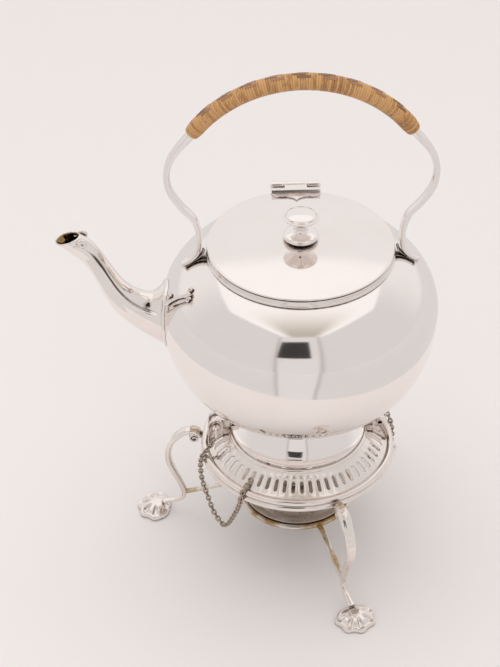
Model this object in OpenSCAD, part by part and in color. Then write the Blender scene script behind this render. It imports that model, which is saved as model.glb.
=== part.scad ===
// Spirit kettle on a pierced three-legged stand, with a lamp under it.
// Origin: the stand's axis at table level. +Z is up, the spout points to -X, the lid hinge is at +Y.

/* [Kettle] */
// Largest radius of the kettle body
body_r = 80; // [78:0.5:81]
// Height of the widest part of the body above the table
body_z = 174.5; // [173:0.5:176]
// Height from the widest part up to where the curve would close
body_up = 48.6; // [47:0.2:50]
// Height from the widest part down to the bottom
body_down = 70.3; // [68:0.2:71]
// Squareness of the body curve, 2 being an ellipse
body_n = 2.24; // [2.1:0.02:2.4]
// Sheet thickness of the body
wall = 1.4; // [1:0.1:1.8]
// Inner radius of the neck
neck_r = 50.6; // [50.2:0.1:51]

/* [Lid] */
// Outer radius of the lid's rolled edge
lid_r = 53.3; // [53:0.1:53.6]
// Rise of the lid's dome above its edge
lid_rise = 3; // [2.4:0.2:4]
// Radius of the knob's button
knob_r = 10.4; // [9:0.2:12]
// Opening angle of the lid
lid_open = 100; // [60:5:100]

/* [Handle] */
// Height of the top of the grip's centreline
grip_z = 324; // [323:0.5:328]
// Radius of the wrapped grip
grip_r = 5; // [4:0.2:5.4]
// Width of the flat straps
strap_w = 7; // [5:0.5:9]

/* [Stand] */
// Number of slots in the gallery
slots = 60; // [40:2:64]
// Width of each slot
slot_w = 2.2; // [1.6:0.1:2.6]
// Turn of the first leg from +X
leg_turn = 170; // [169:1:174]
// Width of a leg at its widest
leg_w = 6.4; // [5.6:0.2:7]

/* [Pins and lamp] */
// Radius of the two locking pins
pin_r = 1.25; // [1.22:0.01:1.27]
// Radius of the holes for the pins
pin_hole_r = 1.32; // [1.3:0.01:1.35]
// Radius of the lamp's reservoir
lamp_r = 30; // [29:0.25:30.25]

/* [Hidden] */
$fn = 64;
silver = [0.78, 0.76, 0.75];
shade = [0.68, 0.66, 0.65];
gilt = [0.66, 0.53, 0.34];
cane = [0.66, 0.50, 0.34];
white = [0.9, 0.88, 0.82];
neck_top = 213.4;
collar_top = 217.7;
pivot_x = 50;
pivot_z = 87;
hinge_y = 56;
link_r = 1.36;
link_wire = 0.31;
link_pitch = 1.9;
hinge_z = 221.5;

// ---- helpers ----
// A point of the body's profile curve, grown by g, at parameter t from -90 to 90
function prof(t, g) = [(body_r + g) * pow(cos(t), 2 / body_n),
  body_z + (t < 0 ? -1 : 1) * ((t < 0 ? body_down : body_up) + g) * pow(abs(sin(t)), 2 / body_n)];
// The parameter at which the grown curve has radius r
function prof_t(r, g) = acos(pow(r / (body_r + g), body_n / 2));
// The body's solid volume grown by g, up to the neck
module body_solid(g) {
  top = prof_t(neck_r, g);
  rotate_extrude() polygon(concat([[0, body_z - body_down - g]],
    [for (i = [1:40]) prof(-90 + (90 + top) * i / 40, g)], [[0, prof(top, g)[1]]]));
}
// A smooth curve through the points of p (Catmull-Rom), n steps to a span
function cr(a, b, c, d, t) = 0.5 * (2 * b + (c - a) * t + (2 * a - 5 * b + 4 * c - d) * t * t
  + (3 * b - a - 3 * c + d) * t * t * t);
function at(p, i) = p[max(0, min(len(p) - 1, i))];
function curve(p, n) = concat([for (i = [0:len(p) - 2], k = [0:n - 1])
  cr(at(p, i - 1), p[i], p[i + 1], at(p, i + 2), k / n)], [p[len(p) - 1]]);
// A flat ribbon along points [x, y, width]
module ribbon(p, n = 5) {
  c = curve(p, n);
  m = len(c) - 1;
  d = [for (i = [0:m]) let(v = at(c, i + 1) - at(c, i - 1)) [v[0], v[1]] / norm([v[0], v[1]])];
  polygon(concat([for (i = [0:m]) [c[i][0] - d[i][1] * c[i][2] / 2, c[i][1] + d[i][0] * c[i][2] / 2]],
    [for (i = [m:-1:0]) [c[i][0] + d[i][1] * c[i][2] / 2, c[i][1] - d[i][0] * c[i][2] / 2]]));
}
// Stands a flat outline drawn in (x, z) upright, w thick and centred on y = 0
module upright(w) {
  translate([0, w / 2, 0]) rotate([90, 0, 0]) linear_extrude(w) children();
}
module across(r, y0, y1, x, z) {
  translate([x, y0, z]) rotate([-90, 0, 0]) cylinder(r = r, h = y1 - y0);
}
// A thin oval slice of the spout, tilted a degrees up from -X
module slice(x, z, a, rh, rw) {
  translate([x, 0, z]) rotate([0, a - 90, 0]) linear_extrude(0.4, center = true)
    scale([rh, rw]) circle(1, $fn = 28);
}

// ---- kettle ----
module kettle_body() {
  t0 = prof_t(neck_r + 2.1, 0);
  t1 = prof_t(neck_r, -wall);
  color(silver) difference() {
    rotate_extrude() polygon(concat([[0, body_z - body_down]],
      [for (i = [1:44]) prof(-90 + (90 + t0) * i / 44, 0)],
      [[neck_r + 2, neck_top], [neck_r, neck_top]],
      [for (i = [44:-1:1]) prof(-90 + (90 + t1) * i / 44, -wall)], [[0, body_z - body_down + wall]]));
    // strainer holes behind the spout
    for (z = [160:8:184], y = [-8:8:8])
      translate([-90, y, z]) rotate([0, 90, 0]) cylinder(r = 2, h = 30);
  }
}
module neck_collar() {
  color(silver) rotate_extrude() union() {
    translate([neck_r, neck_top]) square([2.4, collar_top - neck_top]);
    translate([neck_r + 2.3, neck_top + 1]) circle(0.9);
  }
}
module kettle_foot() {
  // a trumpet ring: its top meets the body, its edge stands over the stand's bead
  c = curve([[29.4, 108.6], [29.6, 104], [31.4, 97], [34.6, 90.5], [39.9, 85.4]], 6);
  color(silver) difference() {
    rotate_extrude() union() {
      polygon(concat(c, [[40.8, 85.4], [40.8, 84], [38.4, 84]],
        [for (i = [len(c) - 2:-1:0]) c[i] - [1.5, 0.4]]));
    }
    body_solid(0.05);
  }
}
// The tongue that a pin goes through; s is -1 at the spout's side, 1 at the other
module tongue(s) {
  difference() {
    union() {
      upright(5) polygon([[s * 40.9, 84.2], [s * pivot_x, 83.9], [s * pivot_x, 90.1], [s * 37.6, 90.1],
        [s * 39.2, 87], [s * 40.9, 85.6]]);
      across(3.1, -2.5, 2.5, s * pivot_x, pivot_z);
    }
    across(pin_hole_r, -5, 5, s * pivot_x, pivot_z);
  }
}
module pivot_tongue() { color(silver) tongue(-1); }
module lock_tongue() { color(silver) tongue(1); }
// The swan-neck spout: oval slices along its curve
sp = [[-76, 171.5, 0, 19.5, 13.6], [-84, 172.6, 6, 17.6, 11.6], [-93, 176.4, 28, 13.4, 9.2],
  [-103, 186, 50, 9.2, 7.6], [-110.6, 200.5, 62, 6.7, 6.2], [-117.6, 213.4, 58, 6.6, 5.6],
  [-130.6, 226, 74, 7.8, 5.4]];
module spout() {
  color(silver) difference() {
    union() for (i = [0:5]) hull() {
      slice(sp[i][0], sp[i][1], sp[i][2], sp[i][3], sp[i][4]);
      slice(sp[i + 1][0], sp[i + 1][1], sp[i + 1][2], sp[i + 1][3], sp[i + 1][4]);
    }
    for (i = [0:5]) hull() {
      slice(sp[i][0], sp[i][1], sp[i][2], sp[i][3] - 1.4, sp[i][4] - 1.4);
      slice(sp[i + 1][0] - (i == 5 ? 0.3 : 0), sp[i + 1][1] + (i == 5 ? 1 : 0), sp[i + 1][2],
        sp[i + 1][3] - 1.2, sp[i + 1][4] - 1.2);
    }
    body_solid(1.6);
  }
}
module spout_collar() {
  color(silver) difference() {
    intersection() {
      body_solid(1.5);
      translate([-90, 0, 171.5]) rotate([0, 90, 0]) linear_extrude(22) difference() {
        polygon([for (i = [0:35]) [22.5 * cos(10 * i), 16.6 * sin(10 * i)]]);
        polygon([for (i = [0:35]) [17.2 * cos(10 * i), 11.4 * sin(10 * i)]]);
      }
    }
    body_solid(0.05);
  }
}
// A scroll soldered on the shoulder in front of the spout's flange
module spout_leaf() {
  color(silver) rotate([0, 0, 196.4]) translate([72.7, 0, 197.6]) rotate([0, 53.6, 0])
    translate([-20 * cos(54.5), -20 * sin(54.5), 0.4]) rotate([0, 0, 29]) rotate_extrude(angle = 51)
    translate([20, 0]) circle(1.6);
}
// Two little rolls at the lip
module spout_scrolls() {
  color(silver) for (s = [-1, 1]) translate([-122.4, s * 4.2, 228.6]) rotate([0, 90, 0])
    rotate([90, 0, 0]) cylinder(r = 1.3, h = 3.4, center = true);
}
// Handle: two flat straps, s is -1 at the spout's side; g widens the band for cuts
module strap_line(g) {
  ribbon([[58.8, 294.4, 6.2 + g], [61.4, 291.2, 4.8 + g], [67.3, 284.4, 4.3 + g], [72.6, 275.5, 3.9 + g],
    [74.3, 266, 3.8 + g], [72.6, 256, 3.8 + g], [66.8, 246.2, 3.8 + g], [60.2, 238, 3.8 + g],
    [57.5, 229, 3.6 + g], [57.4, 221, 3.4 + g], [58.6, 215.2, 3.4 + g], [62, 210.9, 3.2 + g],
    [66.6, 207.2, 2.8 + g]]);
}
module strap(s) {
  color(silver) difference() {
    union() {
      upright(strap_w) scale([s, 1]) strap_line(0);
      across(1.9, -strap_w / 2, strap_w / 2, s * 67, 206.9);
    }
    body_solid(0.05);
    handle_bow(grip_r + 0.05, -0.05);
  }
}
module handle_strap_left() { strap(-1); }
module handle_strap_right() { strap(1); }
// The bow of the grip: a circle through its two ends and its top
bow_s = grip_z - 293;
bow_R = (3600 + bow_s * bow_s) / (2 * bow_s);
bow_a = asin(60 / bow_R);
module handle_bow(r, a0 = 0) {
  translate([0, 0, grip_z - bow_R]) rotate([90, 0, 0]) rotate([0, 0, 90 - bow_a + a0])
    rotate_extrude(angle = 2 * (bow_a - a0)) translate([bow_R, 0]) circle(r);
}
module handle_grip() { color(cane) handle_bow(grip_r); }
// A small block under each strap's foot, between the shoulder and the collar
module pad(s) {
  color(shade) difference() {
    upright(strap_w - 2.4) scale([s, 1]) polygon([[54.1, 213.9], [54.1, 217.2], [55.4, 217.4], [56.4, 214.6],
      [57.3, 213.2], [59, 211.1], [61.2, 209], [60.9, 208.95]]);
    cylinder(r = 54, h = 300);
  }
}
module neck_collar_room() {
  translate([0, 0, 200]) cylinder(r = neck_r + 2.45, h = 40);
  rotate_extrude() translate([neck_r + 2.3, neck_top + 1]) circle(0.95);
}
module handle_pad_left() { pad(-1); }
module handle_pad_right() { pad(1); }

// ---- hinge and lid ----
module hinge_base() {
  // two outer knuckles on a leaf that stands on the collar's back
  color(silver) difference() {
    union() {
      for (x = [-14.5, 7.1]) translate([x, hinge_y, hinge_z]) rotate([0, 90, 0]) cylinder(r = 2.2, h = 7.4);
      for (x = [-14.5, 7.1]) translate([x, hinge_y - 2.2, 214.2]) cube([7.4, 3.4, 7.3]);
      translate([-14.5, hinge_y - 2.2, 209]) cube([29, 3.4, 9.4]);
    }
    translate([-20, hinge_y, hinge_z]) rotate([0, 90, 0]) cylinder(r = 1.06, h = 40);
    body_solid(0.05);
    neck_collar_room();
  }
}
module hinge_pin() {
  color(silver) translate([-14.8, hinge_y, hinge_z]) rotate([0, 90, 0]) cylinder(r = 1, h = 29.6);
}
function lid_z(r) = 219.4 + lid_rise * (1 - pow(r / lid_r, 2));
// Radii at which the dome's curve is drawn
dome = [for (i = [0:18]) lid_r * 0.985 * i / 18];
module lid_shell() {
  color(silver) difference() {
    union() {
      rotate_extrude() polygon(concat([for (r = dome) [r, lid_z(r)]],
        [for (i = [18:-1:0]) [dome[i], lid_z(dome[i]) - 1.2]]));
      rotate_extrude() translate([lid_r - 1.2, 219.25]) circle(1.2);
    }
    translate([0, 0, 210]) cylinder(r = 1.6, h = 30);
    // room for the hinge's fixed knuckles
    translate([-14.8, hinge_y - 4.9, 214]) cube([8, 10, 12]);
    translate([6.8, hinge_y - 4.9, 214]) cube([8, 10, 12]);
  }
}
module lid_bezel() {
  color(shade) rotate_extrude() polygon([[48.4, 211], [49.6, 211], [49.6, lid_z(49.6) - 1.25],
    [48.4, lid_z(48.4) - 1.25]]);
}
module lid_leaf() {
  // the centre knuckle, the flat bar and the bracket-shaped plate on the dome
  color(silver) difference() {
    union() {
      translate([-6.8, hinge_y, hinge_z]) rotate([0, 90, 0]) cylinder(r = 2.2, h = 13.6);
      translate([-6.8, hinge_y - 5, hinge_z - 1]) cube([13.6, 5, 2.6]);
      translate([-14.5, hinge_y - 7.6, 220.2]) cube([29, 2.6, 2.6]);
      translate([0, 0, 219.4]) linear_extrude(2.4) polygon([[-14.5, hinge_y - 7.6], [-13, 46.4], [-9, 44.6],
        [-4, 43.6], [0, 41], [4, 43.6], [9, 44.6], [13, 46.4], [14.5, hinge_y - 7.6]]);
    }
    translate([-20, hinge_y, hinge_z]) rotate([0, 90, 0]) cylinder(r = 1.06, h = 40);
    rotate_extrude() polygon(concat([[0, 210]], [for (r = dome) [r, lid_z(r) + 0.05]],
      [[lid_r, lid_z(lid_r) + 0.05], [lid_r, 210]]));
    rotate_extrude() translate([lid_r - 1.2, 219.25]) circle(1.25);
    translate([-8, 51.2, 210]) cube([16, 2.4, 10.2]);
  }
}
module lid_knob() {
  z = lid_z(0);
  // a flat ball, a narrow waist, then a thin button that opens like a shallow bowl
  color(silver) rotate_extrude() union() {
    polygon(concat([[0, z + 0.05], [4.6, z + 0.05]],
      [for (i = [-60:15:60]) [3.6 + 6.6 * cos(i), z + 2.6 + 2.45 * sin(i)]],
      [[4.2, z + 6], [3.3, z + 7.4], [3.4, z + 9], [5.6, z + 11.2], [8.6, z + 13.6]],
      [[knob_r, z + 15.2], [knob_r, z + 15.9], [9.4, z + 16.5], [5, z + 17.3], [0, z + 17.6]]));
    translate([0, z - 2.6]) square([1.5, 4]);
  }
}
module knob_washer() {
  color(shade) translate([0, 0, lid_z(0) - 2.7]) difference() {
    cylinder(r = 4, h = 1.4);
    translate([0, 0, -1]) cylinder(r = 1.55, h = 4);
  }
}

// ---- stand ----
module gallery_band() {
  color(silver) difference() {
    rotate_extrude() difference() {
      polygon([[42.4, 81], [42.9, 82.2], [55.2, 72.6], [54.6, 71.2]]);
      translate([41.5, 82]) circle(1.52);
    }
    for (i = [0:slots - 1]) rotate([0, 0, i * 360 / slots]) translate([45.7, -slot_w / 2, 60])
      cube([6.4, slot_w, 30]);
  }
}
module gallery_bead() {
  color(silver) rotate_extrude() translate([41.5, 82]) circle(1.5);
}
module gallery_rim() {
  color(silver) rotate_extrude() difference() {
    union() {
      translate([56.9, 71.2]) circle(2);
      translate([57.3, 67.4]) circle(2.1);
    }
    polygon([[42.7, 80], [43, 82.1], [55.28, 72.68], [54.55, 71.05], [54.4, 71]]);
  }
}
module stop_peg() {
  color(gilt) rotate([0, 0, -120]) difference() {
    translate([39, 0, 82]) sphere(1.5);
    rotate_extrude() translate([41.5, 82]) circle(1.55);
  }
}
// Two ears that stand up from the band and hold a pin; s is the side in x
module lug(s) {
  color(silver) difference() {
    union() for (y = [-4.75, 2.75]) translate([0, y + 1, 0]) {
      upright(2) scale([s, 1]) polygon([[46.2, 74], [45.4, 87], [54.6, 87], [55.2, 80], [54.4, 70]]);
      across(4.6, -1, 1, s * pivot_x, pivot_z);
    }
    across(pin_hole_r, -8, 8, s * pivot_x, pivot_z);
    rotate_extrude() polygon([[30, 50], [30, 91], [43.1, 82.05], [55.35, 72.7], [57, 73.3], [60, 73],
      [60, 50]]);
    rotate_extrude() translate([56.9, 71.2]) circle(2.05);
  }
}
module pivot_lug() { lug(-1); }
module lock_lug() { lug(1); }
// A cabriole leg: its outline from the side, narrowed from the front towards the ankle
module leg_line(g) {
  ribbon([[60.2, 66.4, 3 + g], [63.4, 69.4, 3.6 + g], [68.4, 69.6, 3.8 + g], [74.6, 65.6, 3.7 + g],
    [79.2, 58.4, 3.5 + g], [81.3, 49.5, 3.5 + g], [80.4, 40.5, 3.8 + g], [77.2, 31.5, 4 + g],
    [73.9, 23.6, 4 + g], [72.1, 17.6, 3.6 + g], [73.3, 12.2, 3 + g], [77.8, 9.2, 2.6 + g],
    [83, 7.6, 2.6 + g], [86.6, 6.4, 2.6 + g]]);
}
module leg(k) {
  h = leg_w / 2;
  color(silver) rotate([0, 0, leg_turn + 120 * k]) difference() {
    intersection() {
      union() {
        upright(leg_w) leg_line(0);
        across(2.4, -h, h, 63.6, 64.8);
      }
      translate([50, 0, 0]) rotate([90, 0, 90]) linear_extrude(60) polygon([[-h * 0.6, 0], [-h * 0.56, 14],
        [-h * 0.7, 26], [-h * 0.87, 38], [-h, 52], [-h * 0.95, 66], [-h * 0.9, 76], [h * 0.9, 76],
        [h * 0.95, 66], [h, 52], [h * 0.87, 38], [h * 0.7, 26], [h * 0.56, 14], [h * 0.6, 0]]);
    }
    rotate_extrude() union() {
      translate([56.9, 71.2]) circle(2.05);
      translate([57.3, 67.4]) circle(2.15);
    }
    foot_shape(0.05);
  }
}
module leg_1() { leg(0); }
module leg_2() { leg(1); }
module leg_3() { leg(2); }
// A scalloped shell foot: five lobes under a low dome
module foot_shape(g) {
  intersection() {
    linear_extrude(14) union() {
      translate([90, 0]) circle(8.6 + g);
      for (a = [-76:38:76]) translate([92, 0]) rotate(a) translate([7, 0]) circle(3.6 + g);
      translate([82.5, 0]) circle(5 + g);
    }
    translate([90.4, 0, -16.4]) sphere(23.4 + g, $fn = 64);
  }
}
module foot(k) {
  color(silver) rotate([0, 0, leg_turn + 120 * k]) difference() {
    foot_shape(0);
    // a teardrop hollow in each lobe
    for (a = [-76:38:76]) translate([85.6, 0, 8]) rotate([0, 0, a]) rotate([0, 105, 0])
      translate([0, 0, 4.4]) cylinder(r1 = 0.7, r2 = 2, h = 6.4, $fn = 32);
  }
}
module foot_1() { foot(0); }
module foot_2() { foot(1); }
module foot_3() { foot(2); }
module strut(k) {
  color(gilt) rotate([0, 0, leg_turn + 120 * k]) difference() {
    upright(3.5) ribbon([[35.6, 29.2, 2.4], [42, 28.2, 2.1], [50, 25.6, 2], [58, 21.8, 2.2],
      [71.4, 17.4, 3]]);
    lamp_ring_shape(0.05);
    upright(30) leg_line(0.1);
    translate([72, -20, 0]) cube([20, 40, 40]);
  }
}
module strut_1() { strut(0); }
module strut_2() { strut(1); }
module strut_3() { strut(2); }
module lamp_ring_shape(g) {
  rotate_extrude() union() {
    translate([31.6 - g, 27.4 - g]) square([4.2 + 2 * g, 3.2 + 2 * g]);
    translate([35.6, 29]) circle(0.9 + g);
  }
}
module lamp_ring() { color(gilt) lamp_ring_shape(0); }

// ---- pins and chains ----
// shank, shoulder and a ring to pull it by
module pin() {
  translate([0, -7, 0]) rotate([-90, 0, 0]) cylinder(r = pin_r, h = 12.6);
  translate([0, -7.2, 0]) rotate([-90, 0, 0]) cylinder(r = 2.2, h = 2.1);
  translate([0, -10.6, 0]) rotate([0, 90, 0]) rotate_extrude() translate([3.4, 0]) circle(0.75);
}
module pivot_pin() { color(silver) translate([-pivot_x, 0, pivot_z]) pin(); }
// The locking pin is drawn back until its end clears the tongue
module lock_pin() { color(silver) translate([pivot_x, 8.4, pivot_z]) rotate([0, 0, 180]) pin(); }
// Round links hung along a curve; each link stands across the next
function run(p, i = 1, t = [0]) = i >= len(p) ? t
  : run(p, i + 1, concat(t, [t[i - 1] + norm(p[i] - p[i - 1])]));
function seek(t, s, i = 1) = i >= len(t) - 1 || t[i] >= s ? i : seek(t, s, i + 1);
function along(p, t, s) = let(i = seek(t, s))
  p[i - 1] + (s - t[i - 1]) / (t[i] - t[i - 1]) * (p[i] - p[i - 1]);
// The chains hang from beside the pin's ring, over the rim and back up to the end of a slot. A point is
// [radius, turn from the lug, height]; keep shrinks the turn beyond 20 degrees.
function hang(q, keep) = let(a = q[1] < 20 ? q[1] : 20 + (q[1] - 20) * keep)
  [-q[0] * cos(a), -q[0] * sin(a), q[2]];
module chain(flip) {
  head = flip ? [[56.8, 19.6, 86.6], [57.4, 19.8, 84], [58.8, 18.6, 79.4], [60.8, 16, 74]]
    : [[54.5, 11.4, 86.6], [55, 13, 84.2], [57.2, 13.8, 79.4], [60.4, 13.8, 74.4]];
  fall = [[61.4, 13, 68.4], [61.6, 12, 61], [60.8, 12.9, 51], [59, 17.2, 41.9], [57.6, 22.9, 33.6],
    [56.6, 30, 29.8], [56.2, 36.4, 31], [57, 45.9, 48.6], [59.6, 51.5, 62.4], [61.3, 53.1, 67.8],
    [61, 53.6, 71.4], [59.7, 54, 74.2], [57.4, 54.1, 75.9], [54.6, 54.1, 76.9], [52.2, 54.1, 77.2],
    [50.4, 54.1, 76.7]];
  p = curve([for (q = concat(head, fall))
    hang(q, flip ? 0.645 : 1)], 5);
  t = run(p);
  total = t[len(t) - 1];
  n = 2 * floor(total / link_pitch / 2) + 1;
  color(shade) rotate([0, 0, flip ? 180 : 0]) for (i = [0:n - 1]) {
    a = along(p, t, total * i / n);
    b = along(p, t, total * (i + 1) / n);
    d = b - a;
    translate((a + b) / 2) rotate([0, acos(d[2] / norm(d)), atan2(d[1], d[0])])
      rotate([0, 0, 90 * (i % 2)]) rotate([90, 0, 0]) rotate_extrude($fn = 24)
      translate([link_r, 0]) circle(link_wire, $fn = 16);
  }
}
module pivot_chain() { chain(false); }
module lock_chain() { chain(true); }

// ---- lamp ----
module lamp_reservoir() {
  color(shade) rotate_extrude() {
    polygon([[0, 13.5], [12, 14], [20, 17.2], [lamp_r - 3, 22], [lamp_r, 26], [lamp_r, 31],
      [lamp_r + 4, 31], [lamp_r + 4, 32.2], [lamp_r, 33.4], [lamp_r - 6, 36.4], [13, 39], [9, 39.6],
      [9, 41], [7.6, 41], [7.6, 38.2], [13, 37.6], [lamp_r - 6.4, 35], [lamp_r - 1.4, 32.6],
      [lamp_r - 1.4, 26.6], [lamp_r - 4, 23.2], [19.4, 18.7], [11.8, 15.5], [0, 15]]);
  }
}
module lamp_burner() {
  color(gilt) rotate_extrude() union() {
    translate([3.6, 22]) square([1.2, 27]);
    translate([4.8, 41.1]) square([4.6, 1.4]);
    translate([4.8, 36]) square([2.6, 5.1]);
  }
}
module lamp_wick() {
  color(white) translate([0, 0, 16]) cylinder(r = 3.4, h = 35);
}
module lamp_snuffer() {
  color(silver) rotate_extrude() union() {
    polygon([[9, 42.9], [10.2, 42.9], [10.2, 50], [8.6, 53.4], [4, 55.2], [0, 55.6], [0, 54.4], [3.8, 54],
      [7.8, 52.4], [9, 49.6]]);
    translate([0, 55.4]) polygon([[0, 0], [1.4, 0], [1.6, 1], [0, 2.6]]);
  }
}

kettle_body();
neck_collar();
kettle_foot();
pivot_tongue();
lock_tongue();
spout();
spout_collar();
spout_leaf();
spout_scrolls();
handle_strap_left();
handle_strap_right();
handle_grip();
handle_pad_left();
handle_pad_right();
hinge_base();
hinge_pin();
lid_shell();
lid_bezel();
lid_knob();
lid_leaf();
knob_washer();
gallery_band();
gallery_bead();
gallery_rim();
stop_peg();
pivot_lug();
lock_lug();
leg_1();
leg_2();
leg_3();
foot_1();
foot_2();
foot_3();
strut_1();
strut_2();
strut_3();
lamp_ring();
pivot_chain();
lock_chain();
pivot_pin();
lock_pin();
lamp_reservoir();
lamp_burner();
lamp_wick();
lamp_snuffer();
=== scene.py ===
import bpy, math
import numpy as np
from mathutils import Matrix, Vector


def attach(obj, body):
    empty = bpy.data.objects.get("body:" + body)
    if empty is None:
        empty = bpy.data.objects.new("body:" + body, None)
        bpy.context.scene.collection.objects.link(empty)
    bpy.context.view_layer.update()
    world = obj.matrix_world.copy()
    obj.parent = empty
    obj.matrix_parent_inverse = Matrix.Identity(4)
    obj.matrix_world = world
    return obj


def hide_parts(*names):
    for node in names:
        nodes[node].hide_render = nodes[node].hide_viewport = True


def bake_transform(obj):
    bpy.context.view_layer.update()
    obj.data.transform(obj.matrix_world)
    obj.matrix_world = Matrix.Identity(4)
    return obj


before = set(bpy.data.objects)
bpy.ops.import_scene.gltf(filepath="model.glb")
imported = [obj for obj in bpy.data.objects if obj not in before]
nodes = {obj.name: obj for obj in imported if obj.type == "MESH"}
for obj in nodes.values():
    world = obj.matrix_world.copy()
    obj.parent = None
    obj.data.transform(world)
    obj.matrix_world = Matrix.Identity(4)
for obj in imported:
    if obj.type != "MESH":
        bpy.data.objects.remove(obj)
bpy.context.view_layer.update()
pi = math.pi
rng = np.random.default_rng(7)


# ---------- curves and meshes; all lengths in millimetres until a mesh is made ----------
def cr(P, n):
    """A smooth curve through the rows of P, n points to a span."""
    P = np.array(P, float)
    out = []
    for i in range(len(P) - 1):
        a, b, c, d = P[max(i - 1, 0)], P[i], P[i + 1], P[min(i + 2, len(P) - 1)]
        for k in range(n):
            t = k / n
            out.append(0.5 * (2 * b + (c - a) * t + (2 * a - 5 * b + 4 * c - d) * t * t
                              + (3 * b - a - 3 * c + d) * t ** 3))
    out.append(P[-1])
    return np.array(out)


def curve(P, n):
    """The same curve as a list of points."""
    return [tuple(q) for q in cr(P, n)]


def even(P, n):
    """n points evenly spaced along the polyline P."""
    P = np.array(P, float)
    s = np.r_[0, np.cumsum(np.linalg.norm(np.diff(P[:, :3] if P.shape[1] > 2 else P, axis=0), axis=1))]
    t = np.linspace(0, s[-1], n)
    return np.stack([np.interp(t, s, P[:, k]) for k in range(P.shape[1])], 1)


def arc(cx, cy, r, a0, a1, n=10):
    """Points on a circle from a0 to a1 degrees."""
    a = np.radians(np.linspace(a0, a1, n))
    return [(cx + r * math.cos(t), cy + r * math.sin(t)) for t in a]


def make(name, V, F, mat, attrs=None, flat=None):
    me = bpy.data.meshes.new(name)
    me.from_pydata((np.array(V) * 0.001).tolist(), [], F)
    me.validate()
    me.shade_smooth()
    if flat:
        me.set_sharp_from_angle(angle=math.radians(flat))
    for k, v in (attrs or {}).items():
        a = me.attributes.new(k, "FLOAT", "POINT")
        a.data.foreach_set("value", np.array(v, dtype=np.float32))
    o = bpy.data.objects.new(name, me)
    bpy.context.scene.collection.objects.link(o)
    me.materials.append(mat)
    return o


def lathe(name, prof, mat, seg=192, closed=True, flat=None, wave=None):
    """Turns (r, z) points about the Z axis. wave(angle, i) may change a point's (r, z)."""
    prof = [tuple(p) for p in prof]
    V, rings, F = [], [], []
    for i, (r, z) in enumerate(prof):
        if r < 1e-6:
            rings.append([len(V)] * seg)
            V.append((0, 0, z))
            continue
        rings.append(list(range(len(V), len(V) + seg)))
        for j in range(seg):
            a = 2 * pi * j / seg
            rr, zz = wave(a, r, z) if wave else (r, z)
            V.append((rr * math.cos(a), rr * math.sin(a), zz))
    m = len(prof)
    for i in range(m if closed else m - 1):
        A, B = rings[i], rings[(i + 1) % m]
        for j in range(seg):
            k = (j + 1) % seg
            f = [A[j], A[k], B[k], B[j]]
            f = [v for n, v in enumerate(f) if v != f[n - 1]]
            if len(f) > 2:
                F.append(f)
    return make(name, V, F, mat, flat=flat)


def frames(P, side=None):
    """Tangent, in-plane normal and side vector at each point of P.

    side fixes the side vector of a flat curve.
    """
    T = np.gradient(P, axis=0)
    T /= np.linalg.norm(T, axis=1)[:, None]
    if side is not None:
        S = np.tile(np.array(side, float), (len(P), 1))
        N = np.cross(S, T)
        return T, N / np.linalg.norm(N, axis=1)[:, None], S
    N = np.zeros_like(P)
    v = np.cross(T[0], [0.31, 0.17, 0.93])
    for i in range(len(P)):
        v = v - T[i] * (v @ T[i])
        v /= np.linalg.norm(v)
        N[i] = v
    return T, N, np.cross(T, N)


def sweep(name, P, sec, mat, side=None, caps=True, flat=None, attrs=None):
    """Carries the closed outline sec(i, u) -> points (normal, side) along P."""
    P = np.array(P, float)
    T, N, S = frames(P, side)
    V, A = [], {k: [] for k in (attrs or {})}
    for i in range(len(P)):
        o = np.array(sec(i, i / (len(P) - 1)))
        V.extend((P[i] + o[:, :1] * N[i] + o[:, 1:2] * S[i]).tolist())
        for k in A:
            A[k].extend(attrs[k](i, i / (len(P) - 1), len(o)))
        m = len(o)
    F = tube_faces(len(P), m)
    if caps:
        F.append(tuple(range(m - 1, -1, -1)))
        F.append(tuple(range((len(P) - 1) * m, len(P) * m)))
    return make(name, V, F, mat, attrs=A, flat=flat)


def oval(a, b, n=24, p=2.0):
    """A superellipse outline, a along the normal and b along the side."""
    t = np.linspace(0, 2 * pi, n, endpoint=False)
    c, s = np.cos(t), np.sin(t)
    return np.stack([a * np.sign(c) * np.abs(c) ** (2 / p), b * np.sign(s) * np.abs(s) ** (2 / p)], 1)


def tube(name, P, r, mat, n=16, side=None):
    radius = r if callable(r) else (lambda u: r)
    return sweep(name, P, lambda i, u: oval(radius(u), radius(u), n), mat, side)


def loop_faces(n, m, base=0):
    """The faces of n rings of m points, the last ring joined to the first."""
    F = []
    for i in range(n):
        this, after = base + i * m, base + (i + 1) % n * m
        F += [(this + j, this + (j + 1) % m, after + (j + 1) % m, after + j) for j in range(m)]
    return F


def tube_faces(n, m, base=0):
    """The same without the last joint."""
    return loop_faces(n, m, base)[:-m]


def weld(o, reach):
    """Joins points closer than reach millimetres."""
    o.modifiers.new("join", "WELD").merge_threshold = reach * 0.001


def round_edges(o, width, segments, angle=30):
    """A small bevel, width in millimetres, along edges sharper than angle."""
    b = o.modifiers.new("round", "BEVEL")
    b.width = width * 0.001
    b.segments = segments
    b.limit_method = "ANGLE"
    b.angle_limit = math.radians(angle)
    b.harden_normals = True


def turned(P, deg):
    a = math.radians(deg)
    P = np.array(P, float)
    return np.stack([P[:, 0] * math.cos(a) - P[:, 1] * math.sin(a),
                     P[:, 0] * math.sin(a) + P[:, 1] * math.cos(a), P[:, 2]], 1)


def put(o, body, slot, *stands_for):
    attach(o, body)
    if stands_for:
        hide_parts(*stands_for)
    return o


# ---------- materials ----------
def nt(name):
    m = bpy.data.materials.new(name)
    m.use_nodes = True
    t = m.node_tree
    p = t.nodes["Principled BSDF"]
    return m, t, p


def node(t, kind, **kw):
    n = t.nodes.new(kind)
    for k, v in kw.items():
        if hasattr(n, k):
            setattr(n, k, v)
        else:
            n.inputs[k].default_value = v
    return n


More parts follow.
